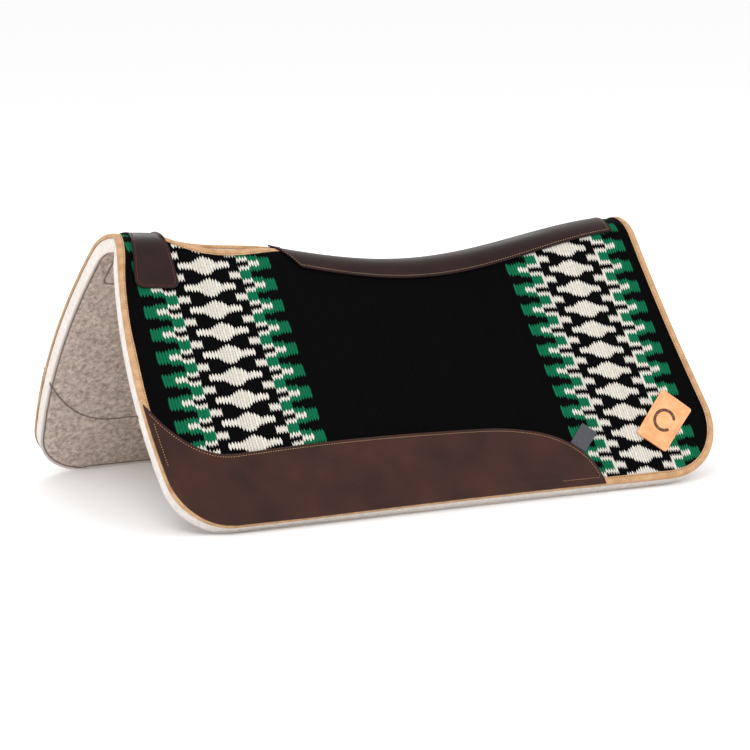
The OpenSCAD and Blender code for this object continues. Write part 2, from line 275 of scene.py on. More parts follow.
def round_rim(bm, radius, segments=3):
    """Rounds the corners between a pattern's faces and its cut edge."""
    rim = [e for e in bm.edges if len(e.link_faces) == 2
           and e.calc_face_angle(0.0) > math.radians(60)]
    bmesh.ops.bevel(bm, geom=rim, offset=radius, offset_type="OFFSET", segments=segments,
                    profile=0.5, affect="EDGES", material=-1, clamp_overlap=True)


def finish_piece(name, bm, place, smooth=True, marks=None):
    """Stores (x, s) as the piece's UV map, in metres, and places its vertices.
    Marks are named functions of (x, s), stored as attributes for the shader."""
    for mark, value in (marks or {}).items():
        layer = bm.verts.layers.float.new(mark)
        for vert in bm.verts:
            vert[layer] = value(vert.co.x, vert.co.y)
    layer = bm.loops.layers.uv.new("pattern")
    for face in bm.faces:
        face.smooth = smooth
        for loop in face.loops:
            loop[layer].uv = (loop.vert.co.x, loop.vert.co.y)
    for vert in bm.verts:
        vert.co = place(vert.co)
    bmesh.ops.recalc_face_normals(bm, faces=bm.faces)
    mesh = bpy.data.meshes.new(name)
    bm.to_mesh(mesh)
    bm.free()
    piece = bpy.data.objects.new(name, mesh)
    bpy.context.collection.objects.link(piece)
    return piece


def bends(piece):
    """Bakes a piece's placement into its mesh."""
    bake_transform(piece)


def wool_felt(name, light, dark, fleck, seams=(), thread_and_groove_shade_colour="#574a43", border=None):
    """Pressed wool felt: matte, mottled in soft clouds a few millimetres wide,
    with stray fibres that catch the light. Seams are attributes that give the
    distance from a line of stitches, where it is pulled in; along each the colour
    is painted dark, for the thread and for painted shade in its groove.
    Outside the first of them the felt has the border's colour."""
    finish = bpy.data.materials.new(name)
    finish.use_nodes = True
    tree = finish.node_tree
    shader = tree.nodes["Principled BSDF"]
    where = add_node(tree, "ShaderNodeTexCoord").outputs["Object"]
    clouds = add_node(tree, "ShaderNodeTexNoise", {
        "Vector": where, "Scale": 1 / 0.007, "Detail": 5.0, "Roughness": 0.7})
    stretch = add_node(tree, "ShaderNodeMapping", {
        "Vector": where, "Scale": (1.0, 0.45, 0.45), "Rotation": (0.3, 0.5, 0.9)})
    fibres = add_node(tree, "ShaderNodeTexNoise", {
        "Vector": stretch.outputs["Vector"], "Scale": 1 / 0.0012, "Detail": 3.0,
        "Roughness": 0.75, "Distortion": 1.5})
    tone = add_node(tree, "ShaderNodeValToRGB", {"Fac": clouds.outputs["Fac"]})
    tone.color_ramp.elements[0].position = 0.34
    tone.color_ramp.elements[0].color = hex_colour(dark)
    tone.color_ramp.elements[1].position = 0.66
    tone.color_ramp.elements[1].color = hex_colour(light)
    strand = add_node(tree, "ShaderNodeMapRange", {
        "Value": fibres.outputs["Fac"], "From Min": 0.52, "From Max": 0.75,
        "To Min": 0.0, "To Max": 0.6})
    colour = add_node(tree, "ShaderNodeMix", {
        "Factor": strand.outputs["Result"], "A": tone.outputs["Color"],
        "B": hex_colour(fleck)}, data_type="RGBA")
    height = add_node(tree, "ShaderNodeMath", {
        0: clouds.outputs["Fac"], 1: fibres.outputs["Fac"]}, operation="ADD")
    bump = add_node(tree, "ShaderNodeBump", {
        "Height": height.outputs["Value"], "Strength": 0.55, "Distance": 0.0012})
    if border:
        outside = add_node(tree, "ShaderNodeMath", {
            0: add_node(tree, "ShaderNodeAttribute", attribute_name=seams[0]).outputs["Fac"],
            1: 0.0}, operation="LESS_THAN")
        colour = add_node(tree, "ShaderNodeMix", {
            "Factor": outside.outputs["Value"], "A": colour.outputs["Result"],
            "B": hex_colour(border)}, data_type="RGBA")
    # Painted shade: each seam is painted dark along its line, the sunken thread together with
    # painted shade in its groove.
    for seam in seams:
        gap = add_node(tree, "ShaderNodeAttribute", attribute_name=seam)
        away = add_node(tree, "ShaderNodeMath", {0: gap.outputs["Fac"]}, operation="ABSOLUTE")
        wander = add_node(tree, "ShaderNodeMath", {
            0: fibres.outputs["Fac"], 1: 0.0008, 2: away.outputs["Value"]},
            operation="MULTIPLY_ADD")
        line = add_node(tree, "ShaderNodeMapRange", {
            "Value": wander.outputs["Value"], "From Min": 0.0008, "From Max": 0.0027,
            "To Min": 0.85, "To Max": 0.0}, interpolation_type="SMOOTHSTEP")
        colour = add_node(tree, "ShaderNodeMix", {
            "Factor": line.outputs["Result"], "A": colour.outputs["Result"],
            "B": hex_colour(thread_and_groove_shade_colour)}, data_type="RGBA")
    tree.links.new(colour.outputs["Result"], shader.inputs["Base Color"])
    tree.links.new(bump.outputs["Normal"], shader.inputs["Normal"])
    shader.inputs["Roughness"].default_value = 0.95
    shader.inputs["Specular IOR Level"].default_value = 0.15
    shader.inputs["Sheen Weight"].default_value = 0.25
    shader.inputs["Sheen Roughness"].default_value = 0.6
    return finish


pale_felt = wool_felt("pressed_wool_felt_pale", "#e6dfd9", "#cfc5bd", "#f3eeea")

for half, side in HALVES.items():
    bm = cut_flap(150, 80)
    thicken(bm, core_t)
    round_rim(bm, 0.0012, 2)

    def place(co, side=side):
        fuzz = 0.0004 * noise.noise(Vector((co.x, co.y, co.z)) * 260)
        return off_pad(co.x + fuzz, co.y, co.z - blanket_t, side)

    core = finish_piece("felt_core_" + half, bm, place)
    core.data.materials.append(pale_felt)
    bends(core)
    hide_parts("felt_core_" + half)


# ---- Felt lining -----------------------------------------------------------
# A thinner, grey-brown wool felt lies against the horse. The stitching of the
# binding and of each leather piece shows on it as a sunken line, painted dark
# for the thread and for painted shade in the groove.

wear_h, wear_crown, wear_hook = 0.102, 0.006, 0.069
wear_low, hook_len, crown_len = 0.076, 0.104, 0.440
hook_bend, wear_bluff = 2.2, 2.3
wear_to, wear_round = 0.612, 0.162
spine_from, spine_to, spine_tip = 0.232, 0.766, 0.035
spine_half, spine_swell, blunt_tip = 0.039, 0.004, 0.03
withers_margin, withers_to = 0.021, 0.065
withers_drop, withers_corner = 0.102, 0.013
stitch_in, edge_seam_in = 0.004, 0.0048
binding_w, binding_t = 0.009, 0.0013


def wear_height(x):
    """Height of the wear leather's top edge above the bottom edge."""
    crown = wear_crown * math.sin(math.pi * min(1.0, max(0.0, (x - wear_low) / crown_len)))
    hook = wear_hook * max(0.0, (wear_low - x) / hook_len) ** hook_bend
    end = min(1.0, max(0.0, (x - wear_to + wear_round) / wear_round))
    return (wear_h + crown + hook) * max(0.0, 1 - end ** wear_bluff) ** (1 / wear_bluff)


def spine_width(x):
    """Half the width of the spine leather at x."""
    f = min(1.0, max(0.0, (x - spine_from) / (spine_to - spine_from)))
    swell = spine_half + spine_swell * math.sin(math.pi * f) ** 2
    return swell * min(1.0, max(blunt_tip, (x - spine_from) / spine_tip))


def rounded(a, b, radius):
    """Distance inside a rounded corner, from the distances inside both sides."""
    if a < radius and b < radius:
        return radius - math.hypot(radius - a, radius - b)
    return min(a, b)


def withers_depth(x, s):
    """Distance inside the withers patch."""
    front = x - front_x(abs(s)) - withers_margin
    rest = withers_drop - abs(s)
    return min(rounded(front, rest, withers_corner), rounded(withers_to - x, rest, withers_corner))


def spine_depth(x, s):
    return min(spine_width(x) - abs(s), spine_to - x, (x - spine_from) * 0.7)


def wear_depth(x, s):
    """Distance below the wear leather's top edge, square to that edge."""
    step = 0.002
    slope = (wear_height(x + step) - wear_height(x - step)) / (2 * step)
    rise = (drop(x + step) - drop(x - step)) / (2 * step)
    if x > wear_to - step:
        return wear_to - x - 0.001
    return (s - drop(x) + wear_height(x)) / math.hypot(1, rise - slope)


outline = ([(left_x(k / 400), k / 400 * drop(left_x(k / 400))) for k in range(401)]
           + [flap_place(k / 800, 1.0) for k in range(1, 800)]
           + [(right_x(1 - k / 400), (1 - k / 400) * drop(right_x(1 - k / 400)))
              for k in range(401)])
outline_tree = kdtree.KDTree(len(outline))
for k, (x, s) in enumerate(outline):
    outline_tree.insert((x, s, 0), k)
outline_tree.balance()


def edge_depth(x, s):
    """Distance in from the outer edge of the flap."""
    return outline_tree.find((x, s, 0))[2]


def seam_distances(x, s):
    """Distances from the lines of stitches that go through the whole pad."""
    return (edge_depth(x, s) - edge_seam_in, wear_depth(x, s) - stitch_in,
            withers_depth(x, s) - stitch_in, spine_depth(x, s) - stitch_in)


grey_felt = wool_felt("pressed_wool_felt_grey_brown", "#dccbbe", "#8c786b", "#efe5dc",
                      seams=("seam_edge", "seam_wear", "seam_withers", "seam_spine"),
                      border="#d9cfc8")

for half, side in HALVES.items():
    bm = cut_flap(210, 116)
    thicken(bm, lining_t)
    round_rim(bm, 0.0009, 2)

    def place(co, side=side):
        t = co.z - blanket_t - core_t
        if co.z < -lining_t / 2:
            t += sum(0.0011 * math.exp(-(d / 0.0026) ** 2) for d in seam_distances(co.x, co.y))
            t += 0.0005 * noise.noise(Vector((co.x, co.y, 0)) * 55)
        return off_pad(co.x, co.y, t, side)

    lining = finish_piece("felt_lining_" + half, bm, place, marks={
        "seam_edge": lambda x, s: edge_depth(x, s) - edge_seam_in,
        "seam_wear": lambda x, s: wear_depth(x, s) - stitch_in,
        "seam_withers": lambda x, s: withers_depth(x, s) - stitch_in,
        "seam_spine": lambda x, s: spine_depth(x, s) - stitch_in})
    lining.data.materials.append(grey_felt)
    bends(lining)
    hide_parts("felt_lining_" + half)


# ---- Blanket ---------------------------------------------------------------
# A heavy woven wool blanket in black, with two bands of cream and green
# diamonds. Its yarns run down the flap, so every edge of colour is a saw-tooth.

yarn = 0.0045
band_front, band_rear, stretch = 0.1120, 0.6190, 0.142
first_row_front, first_row_rear = 0.0698, 0.0642
row_pitch = 0.03407
BLACK, GREEN, CREAM = "#050506", "#0f6745", "#d6d0c5"
# From a band's middle outwards: the zone's outer edge in millimetres, then its
# colours from the middle of a row of diamonds to half way to the next, each
# after the first with where it starts, as a share of the distance between rows.
ZONES = [(4.5, CREAM, 0.39, BLACK, 1, BLACK), (9, CREAM, 0.34, BLACK, 1, BLACK),
         (13.5, CREAM, 0.28, BLACK, 1, BLACK), (19, CREAM, 0.19, BLACK, 1, BLACK),
         (31, CREAM, 0.13, BLACK, 1, BLACK), (34, CREAM, 0.11, BLACK, 1, BLACK),
         (38, CREAM, 0.11, BLACK, 0.36, CREAM), (52, BLACK, 0.36, CREAM, 1, CREAM),
         (55, BLACK, 0.11, CREAM, 1, CREAM), (73.5, BLACK, 0.11, CREAM, 0.27, GREEN),
         (91, CREAM, 0.10, GREEN, 0.33, BLACK), (109, GREEN, 0.25, BLACK, 1, BLACK),
         (200, BLACK, 1, BLACK, 1, BLACK)]


def weave_row(x, s):
    """Distance across the blanket's rows. They were woven straight, so they run
    level over the flap, past the dip that was cut and moulded into the ridge."""
    dip = ridge_dip * dip_at(x / pad_length)
    slip = mix(first_row_front, first_row_rear, x / pad_length)
    return s + dip / math.cos(flap_angle(x)) - slip


def woven_wool():
    """Worsted wool yarns side by side: soft round ribs, a twist along each, and
    a haze of fibres. The pattern's dyed lengths meet in ragged points. Its
    colour is painted darker in the valleys between ribs and along each twist,
    as painted shade."""
    finish = bpy.data.materials.new("woven_wool_blanket")
    finish.use_nodes = True
    tree = finish.node_tree
    shader = tree.nodes["Principled BSDF"]

    def math_node(operation, a, b=0.0, c=0.0):
        return add_node(tree, "ShaderNodeMath", {0: a, 1: b, 2: c},
                        operation=operation).outputs["Value"]

    place = add_node(tree, "ShaderNodeUVMap", uv_map="pattern").outputs["UV"]
    axes = add_node(tree, "ShaderNodeSeparateXYZ", {"Vector": place})
    wave = add_node(tree, "ShaderNodeTexNoise", {"Vector": place, "Scale": 1 / 0.03, "Detail": 1.0})
    from_front = math_node("SUBTRACT", axes.outputs["X"], band_front)
    square = math_node("MULTIPLY", from_front, from_front)
    x = math_node("MULTIPLY_ADD", square, stretch, from_front)
    x = math_node("MULTIPLY_ADD", math_node("SUBTRACT", wave.outputs["Fac"], 0.5), 0.003, x)
    s = axes.outputs["Y"]
    count = math_node("DIVIDE", x, yarn)
    number = math_node("FLOOR", count)
    u = math_node("FRACT", count)
    from_crest = math_node("ABSOLUTE", math_node("MULTIPLY_ADD", u, 2.0, -1.0))
    yarn_x = math_node("MULTIPLY", math_node("ADD", number, 0.5), yarn)
    luck = add_node(tree, "ShaderNodeTexWhiteNoise", {"W": number}, noise_dimensions="1D")
    across = math_node("MINIMUM", math_node("ABSOLUTE", yarn_x),
                       math_node("ABSOLUTE", math_node("SUBTRACT", yarn_x, band_rear)))
    rows = add_node(tree, "ShaderNodeAttribute", attribute_name="weave_row")
    row = math_node("DIVIDE", rows.outputs["Fac"], row_pitch)
    row = math_node("SUBTRACT", math_node("FRACT", math_node("ADD", row, 0.5)), 0.5)
    shifted = math_node("MULTIPLY_ADD", luck.outputs["Value"], 0.06, row)
    shifted = math_node("SUBTRACT", shifted, 0.03)
    frayed = add_node(tree, "ShaderNodeTexNoise", {
        "Vector": place, "Scale": 1 / 0.0011, "Detail": 2.0, "Roughness": 0.6})
    down = math_node("MULTIPLY_ADD", from_crest, 0.14, math_node("ABSOLUTE", shifted))
    down = math_node("MULTIPLY_ADD", frayed.outputs["Fac"], 0.04, down)
    down = math_node("SUBTRACT", down, 0.09)

    def ramp(values):
        """A stepped ramp over the zones. A colour ramp's places run 0 to 1."""
        widest = ZONES[-1][0]
        node = add_node(tree, "ShaderNodeValToRGB", {
            "Fac": math_node("DIVIDE", across, widest / 1000)})
        node.color_ramp.interpolation = "CONSTANT"
        steps = node.color_ramp.elements
        while len(steps) < len(ZONES):
            steps.new(1.0)
        start = 0.0
        for step, zone, value in zip(steps, ZONES, values):
            step.position = start / widest
            step.color = value
            start = zone[0]
        return node.outputs["Color"]

    def grey(value):
        return (value, value, value, 1.0)

    colours = [ramp([hex_colour(zone[k]) for zone in ZONES]) for k in (1, 3, 5)]
    starts = [ramp([grey(zone[k]) for zone in ZONES]) for k in (2, 4)]
    dyed = colours[0]
    for start, outer in zip(starts, colours[1:]):
        past = math_node("GREATER_THAN", down, start)
        dyed = add_node(tree, "ShaderNodeMix", {"Factor": past, "A": dyed, "B": outer},
                        data_type="RGBA").outputs["Result"]

    crest = math_node("SQRT", math_node("SUBTRACT", 1.0, math_node("POWER", from_crest, 2.0)))
    strands = math_node("MULTIPLY_ADD", s, 2 * math.pi / 0.0026, math_node("MULTIPLY", u, 4.0))
    strands = math_node("MULTIPLY_ADD", luck.outputs["Value"], 6.28, strands)
    twist = math_node("MULTIPLY_ADD", math_node("SINE", strands), 0.5, 0.5)
    hairs = add_node(tree, "ShaderNodeTexNoise", {
        "Vector": add_node(tree, "ShaderNodeMapping", {
            "Vector": place, "Scale": (1.0, 0.3, 1.0)}).outputs["Vector"],
        "Scale": 1 / 0.0005, "Detail": 3.0, "Roughness": 0.7})
    # Painted shade: the colour is darkened in the valleys between the yarns' ribs and along each
    # twist; the hair, per-yarn and matted noise that also scale it are random tone.
    painted_shade_and_tone = math_node("MULTIPLY_ADD", crest, 0.5, 0.5)
    painted_shade_and_tone = math_node("MULTIPLY", painted_shade_and_tone, math_node("MULTIPLY_ADD", twist, 0.2, 0.8))
    painted_shade_and_tone = math_node("MULTIPLY", painted_shade_and_tone,
                      math_node("MULTIPLY_ADD", hairs.outputs["Fac"], 0.5, 0.8))
    painted_shade_and_tone = math_node("MULTIPLY", painted_shade_and_tone,
                      math_node("MULTIPLY_ADD", luck.outputs["Value"], 0.16, 0.9))
    matted = add_node(tree, "ShaderNodeTexNoise", {
        "Vector": place, "Scale": 1 / 0.0035, "Detail": 3.0, "Roughness": 0.6})
    painted_shade_and_tone = math_node("MULTIPLY", painted_shade_and_tone,
                      math_node("MULTIPLY_ADD", matted.outputs["Fac"], 0.7, 0.65))
    dye_with_painted_shade_and_tone = add_node(tree, "ShaderNodeVectorMath", {0: dyed, 1: painted_shade_and_tone}, operation="MULTIPLY")
    tree.links.new(dye_with_painted_shade_and_tone.outputs["Vector"], shader.inputs["Base Color"])
    relief = math_node("MULTIPLY_ADD", twist, 0.22, crest)
    relief = math_node("MULTIPLY_ADD", hairs.outputs["Fac"], 0.5, relief)
    bump = add_node(tree, "ShaderNodeBump", {
        "Height": relief, "Strength": 0.75, "Distance": 0.0009})
    tree.links.new(bump.outputs["Normal"], shader.inputs["Normal"])
    shader.inputs["Roughness"].default_value = 0.92
    shader.inputs["Specular IOR Level"].default_value = 0.04
    return finish


woven = woven_wool()

for half, side in HALVES.items():
    bm = cut_flap(230, 110)
    thicken(bm, blanket_t)

    def place(co, side=side):
        t = co.z
        if t > -blanket_t / 2:
            press = min(abs(d) for d in seam_distances(co.x, co.y)[1:])
            t += 0.0004 * noise.noise(Vector((co.x, co.y, 0)) * 30) - 0.0004
            t -= 0.0010 * math.exp(-(press / 0.006) ** 2)
        return off_pad(co.x, co.y, t, side)

    blanket = finish_piece("blanket_" + half, bm, place, marks={"weave_row": weave_row})
    blanket.data.materials.append(woven)
    bends(blanket)
    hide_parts("blanket_" + half)


# ---- Binding ---------------------------------------------------------------
# A tan tape is folded over the blanket's edge all round each half, and round
# the vent at the withers. It puckers where it turns and bows along its stitches.


def steps_along(points, spacing):
    """Evenly spaced points along a line of (x, s), each with its direction."""
    line = [Vector(p) for p in points]
    lengths = [0.0]
    for a, b in zip(line, line[1:]):
        lengths.append(lengths[-1] + (b - a).length)
    count = max(2, round(lengths[-1] / spacing))
    found, k = [], 0
    for n in range(count + 1):
        at = lengths[-1] * n / count
        while k < len(line) - 2 and lengths[k + 1] < at:
            k += 1
        run = lengths[k + 1] - lengths[k]
        f = (at - lengths[k]) / run if run else 0.0
        found.append(line[k].lerp(line[k + 1], min(1.0, f)))
    ways = [(found[min(n + 1, count)] - found[max(n - 1, 0)]).normalized()
            for n in range(count + 1)]
    return list(zip(found, ways))


lap_lost, lap_middle, lap_reach, front_edge_to = 0.26, 0.125, 0.060, 0.030
tape_step, tape_pucker = 0.0024, 0.00022


def drawn_in(x, s):
    """Share of its full width the tape's lap keeps. It was pulled round the
    front edge's bow with less of it on the face."""
    if x >= front_edge_to:
        return 1.0
    return 1 - lap_lost * math.exp(-((s - lap_middle) / lap_reach) ** 4)


def folded_tape(points, outward, ring, pucker):
    """A tape swept along a line. The ring gives (out, up) round its section,
    and outward is 1 or -1, for the side of the line that is off the blanket."""
    path = steps_along(points, tape_step)
    bm = bmesh.new()
    bmesh.ops.create_grid(bm, x_segments=len(path) - 1, y_segments=len(ring), size=0.5)
    for vert in bm.verts:
        n = round((vert.co.x + 0.5) * (len(path) - 1))
        k = round((vert.co.y + 0.5) * len(ring)) % len(ring)
        point, way = path[n]
        out = Vector((way.y, -way.x)) * outward
        if n in (0, len(path) - 1):
            out = Vector((math.copysign(1.0, out.x), 0.0))
        w, t = ring[k]
        w *= drawn_in(point.x, point.y) if w < 0 else 1
        crease = pucker * noise.noise(Vector((n * tape_step, w * 0.4, outward)) * 330)
        spot = point + out * (w + crease * 0.3)
        vert.co = (spot.x, max(0.0, spot.y), t + (crease if t > 0.0008 else 0.0))
    bmesh.ops.remove_doubles(bm, verts=bm.verts, dist=1e-7)
    bmesh.ops.holes_fill(bm, edges=[e for e in bm.edges if e.is_boundary], sides=0)
    return bm


# Round the fold: the crowned lap, its stitched groove, and down over the edge.
TAPE_RING = [(-0.0091, 0.0002), (-0.0092, 0.0007), (-0.0086, 0.0011), (-0.0078, 0.0011),
             (-0.0070, 0.0007), (-0.0062, 0.0010), (-0.0048, 0.0015), (-0.0030, 0.0016),
             (-0.0014, 0.0014), (0.0001, 0.0009), (0.0010, 0.0002), (0.0014, -0.0012),
             (0.0014, -0.0030), (0.0012, -0.0048), (0.0004, -0.0050), (0.0003, -0.0025),
             (0.0002, 0.0001), (-0.0045, 0.0002)]


def tan_tape():
    """Brushed tan split-leather tape: a short, matte nap in soft, uneven tones."""
    finish = bpy.data.materials.new("tan_suede_tape")
    finish.use_nodes = True
    tree = finish.node_tree
    shader = tree.nodes["Principled BSDF"]
    where = add_node(tree, "ShaderNodeTexCoord").outputs["Object"]
    broad = add_node(tree, "ShaderNodeTexNoise", {
        "Vector": where, "Scale": 1 / 0.012, "Detail": 3.0, "Roughness": 0.6})
    nap = add_node(tree, "ShaderNodeTexNoise", {
        "Vector": where, "Scale": 1 / 0.0009, "Detail": 4.0, "Roughness": 0.7})
    tone = add_node(tree, "ShaderNodeValToRGB", {"Fac": broad.outputs["Fac"]})
    tone.color_ramp.elements[0].position = 0.3
    tone.color_ramp.elements[0].color = hex_colour("#ab8259")
    tone.color_ramp.elements[1].position = 0.7
    tone.color_ramp.elements[1].color = hex_colour("#c9a179")
    fleck = add_node(tree, "ShaderNodeMapRange", {
        "Value": nap.outputs["Fac"], "From Min": 0.35, "From Max": 0.7,
        "To Min": 0.82, "To Max": 1.1})
    colour = add_node(tree, "ShaderNodeVectorMath", {
        0: tone.outputs["Color"], 1: fleck.outputs["Result"]}, operation="MULTIPLY")
    bump = add_node(tree, "ShaderNodeBump", {
        "Height": nap.outputs["Fac"], "Strength": 0.4, "Distance": 0.0004})
    tree.links.new(colour.outputs["Vector"], shader.inputs["Base Color"])
    tree.links.new(bump.outputs["Normal"], shader.inputs["Normal"])
    shader.inputs["Roughness"].default_value = 0.8
    shader.inputs["Specular IOR Level"].default_value = 0.2
    shader.inputs["Sheen Weight"].default_value = 0.15
    return finish


tape = tan_tape()
vent_line = [(vent_from + vent_len * (k / 240) ** 1.5, 0) for k in range(241)]
vent_line = [(x, vent_edge(x)) for x, _ in vent_line]

for half, side in HALVES.items():
    for name, points, outward in (("edge_binding_", outline, -1), ("vent_binding_", vent_line, 1)):
        bm = folded_tape(points, outward, TAPE_RING, tape_pucker)
        binding = finish_piece(name + half, bm,
                               lambda co, side=side: off_pad(co.x, co.y, co.z, side))
        binding.data.materials.append(tape)
        bends(binding)
        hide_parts(name + half)


# ---- Wear leather ----------------------------------------------------------
# A shaped panel of smooth brown leather guards each flap's lower part. Its top
# edge is turned to a low, rounded lip outside the row of stitches.

leather_t = 0.002
leather_lift = binding_t + 0.0004


def brown_leather(name, dark, light):
    """Finished chap leather: an even, waxy satin with fine pores, and broad soft
    changes in the depth of its dye and in its shine."""
    finish = bpy.data.materials.new(name)
    finish.use_nodes = True
    tree = finish.node_tree
    shader = tree.nodes["Principled BSDF"]
    place = add_node(tree, "ShaderNodeUVMap", uv_map="pattern").outputs["UV"]
    broad = add_node(tree, "ShaderNodeTexNoise", {
        "Vector": place, "Scale": 1 / 0.06, "Detail": 4.0, "Roughness": 0.55})
    grain = add_node(tree, "ShaderNodeTexVoronoi", {"Vector": place, "Scale": 1 / 0.0011})
    fine = add_node(tree, "ShaderNodeTexNoise", {
        "Vector": place, "Scale": 1 / 0.0006, "Detail": 3.0, "Roughness": 0.6})
    tone = add_node(tree, "ShaderNodeValToRGB", {"Fac": broad.outputs["Fac"]})
    tone.color_ramp.elements[0].position = 0.32
    tone.color_ramp.elements[0].color = hex_colour(dark)
    tone.color_ramp.elements[1].position = 0.7
    tone.color_ramp.elements[1].color = hex_colour(light)
    pores = add_node(tree, "ShaderNodeMath", {
        0: grain.outputs["Distance"], 1: 0.6, 2: fine.outputs["Fac"]}, operation="MULTIPLY_ADD")
    sheen = add_node(tree, "ShaderNodeMapRange", {
        "Value": broad.outputs["Fac"], "From Min": 0.3, "From Max": 0.7,
        "To Min": 0.40, "To Max": 0.52})
    bump = add_node(tree, "ShaderNodeBump", {
        "Height": pores.outputs["Value"], "Strength": 0.22, "Distance": 0.0002})
    tree.links.new(tone.outputs["Color"], shader.inputs["Base Color"])
    tree.links.new(sheen.outputs["Result"], shader.inputs["Roughness"])
    tree.links.new(bump.outputs["Normal"], shader.inputs["Normal"])
    shader.inputs["Specular IOR Level"].default_value = 0.18
    return finish


# Two copies of one leather: the wear panel's copy is painted lighter than the spine's and withers',
# as painted highlight.
wear_leather_painted_highlight = brown_leather("brown_leather_painted_highlight", "#2a140f", "#3b1f18")
leather_darker_copy = brown_leather("brown_leather_darker_copy", "#1c0b08", "#261310")


def rest_on(x, s):
    """How high a leather piece is held over the blanket by the tape's edges."""
    hump = 1 / (1 + math.exp((edge_depth(x, abs(s)) - binding_w - 0.004) / 0.0015))
    near_vent = abs(abs(s) - vent_edge(x)) if vent_from < x < vent_from + vent_len else 1.0
    hump = max(hump, 1 / (1 + math.exp((near_vent - binding_w - 0.003) / 0.0015)))
    return mix(0.0004, leather_lift, hump)


def leather_piece(name, columns, rows, shape, depth, place, finish, lip=0.0006):
    """A leather piece from a grid that shape turns into (x, s). Its face is
    raised a little along the edges and sunk along the stitches."""
    bm = bmesh.new()
    bmesh.ops.create_grid(bm, x_segments=columns, y_segments=rows, size=0.5)
    for vert in bm.verts:
        vert.co = (*shape(vert.co.x + 0.5, vert.co.y + 0.5), 0)
    thicken(bm, leather_t)
    round_rim(bm, 0.0006, 3)

    def lay(co):
        face = (co.z + leather_t) / leather_t
        d = depth(co.x, co.y)
        relief = lip * math.exp(-((d - 0.0016) / 0.0014) ** 2)
        relief -= 0.0007 * math.exp(-((d - stitch_in) / 0.0010) ** 2)
        t = rest_on(co.x, co.y) + co.z + leather_t + relief * max(0.0, min(1.0, face))
        return place(co.x, co.y, t)

    piece = finish_piece(name, bm, lay)
    piece.data.materials.append(finish)
    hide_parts(name)
    return piece


def wear_shape(f, v):
    """Place in the wear panel: f from the front edge, v from top to bottom."""
    f = math.sin(f * math.pi / 2) ** 0.7 if f > 0 else 0.0
    x = mix(left_x(1.0), wear_to, f)
    for _ in range(2):
        top = 1 - wear_height(x) / drop(x)
        x = mix(left_x(mix(top, 1.0, crowd(v, 0.3))), wear_to, f)
    over = 0.0014 * min(1.0, max(0.0, (x - 0.04) / 0.12)) * v
    return x, mix(1 - wear_height(x) / drop(x), 1.0, crowd(v, 0.3)) * drop(x) + over


for half, side in HALVES.items():
    panel = leather_piece("wear_leather_" + half, 220, 44, wear_shape, wear_depth,
                          lambda x, s, t, side=side: off_pad(x, s, t, side), wear_leather_painted_highlight)
    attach(panel, half + "_half")


# ---- Spine leather and withers patch ---------------------------------------
# One strip of the same leather, in its darker copy without the wear panel's
# painted highlight, covers the seam along the ridge, pointed at its front end.
# A rounded patch caps the seam in front of the vent.


def spine_shape(f, r):
    x = mix(spine_from, spine_to, crowd(f, 0.3))
    return x, (2 * crowd(r, 0.3) - 1) * spine_width(x)


def withers_shape(f, r):
    s = (2 * crowd(r, 0.35) - 1) * withers_drop
    low = corner_in(withers_corner, withers_drop - abs(s))
    return mix(front_x(abs(s)) + withers_margin + low, withers_to - low, crowd(f, 0.3)), s


spine = leather_piece("spine_leather", 200, 34, spine_shape, spine_depth, on_pad, leather_darker_copy)
bends(spine)
withers = leather_piece("withers_patch", 40, 90, withers_shape, withers_depth, on_pad,
                        leather_darker_copy)
bends(withers)


# ---- Stitching -------------------------------------------------------------
# Heavy waxed thread in straight lock stitches, each sunk at both ends: brown on
# the binding, tan on the spine and wear leather, dark red on the withers patch.


def waxed_thread(name, light, dark):
    """Waxed sewing thread: a close twist with a soft wax shine."""
    finish = bpy.data.materials.new(name)
    finish.use_nodes = True
    tree = finish.node_tree
    shader = tree.nodes["Principled BSDF"]
    where = add_node(tree, "ShaderNodeTexCoord").outputs["Object"]
    ply = add_node(tree, "ShaderNodeTexNoise", {
        "Vector": where, "Scale": 1 / 0.0007, "Detail": 2.0, "Roughness": 0.5})
    tone = add_node(tree, "ShaderNodeValToRGB", {"Fac": ply.outputs["Fac"]})
    tone.color_ramp.elements[0].position = 0.35
    tone.color_ramp.elements[0].color = hex_colour(dark)
    tone.color_ramp.elements[1].position = 0.65
    tone.color_ramp.elements[1].color = hex_colour(light)
    bump = add_node(tree, "ShaderNodeBump", {
        "Height": ply.outputs["Fac"], "Strength": 0.4, "Distance": 0.0002})
    tree.links.new(tone.outputs["Color"], shader.inputs["Base Color"])
    tree.links.new(bump.outputs["Normal"], shader.inputs["Normal"])
    shader.inputs["Roughness"].default_value = 0.5
    shader.inputs["Specular IOR Level"].default_value = 0.4
    return finish


def sew(bm, points, stitch, place, height):
    """Adds a row of stitches along a line of (x, s). Each is a slim ellipsoid."""
    pitch, length, radius = stitch
    for point, way in steps_along(points, pitch)[1:-1]:
        lean = random.uniform(-0.12, 0.12)
        way = Vector((way.x - lean * way.y, way.y + lean * way.x))
        t = height(point.x, point.y) + radius * 0.25
        middle = place(point.x, point.y, t)
        ahead = (place(point.x + way.x * 1e-4, point.y + way.y * 1e-4, t) - middle).normalized()
        up = (place(point.x, point.y, t + 1e-4) - middle).normalized()
        aside = up.cross(ahead).normalized()
        half_length = length * random.uniform(0.46, 0.52)
        frame_of = Matrix((ahead * half_length, aside * radius, up * radius)).transposed().to_4x4()
        frame_of.translation = middle
        bmesh.ops.create_uvsphere(bm, u_segments=6, v_segments=5, radius=1.0,
                                  matrix=frame_of @ Matrix.Rotation(math.pi / 2, 4, "Y"))


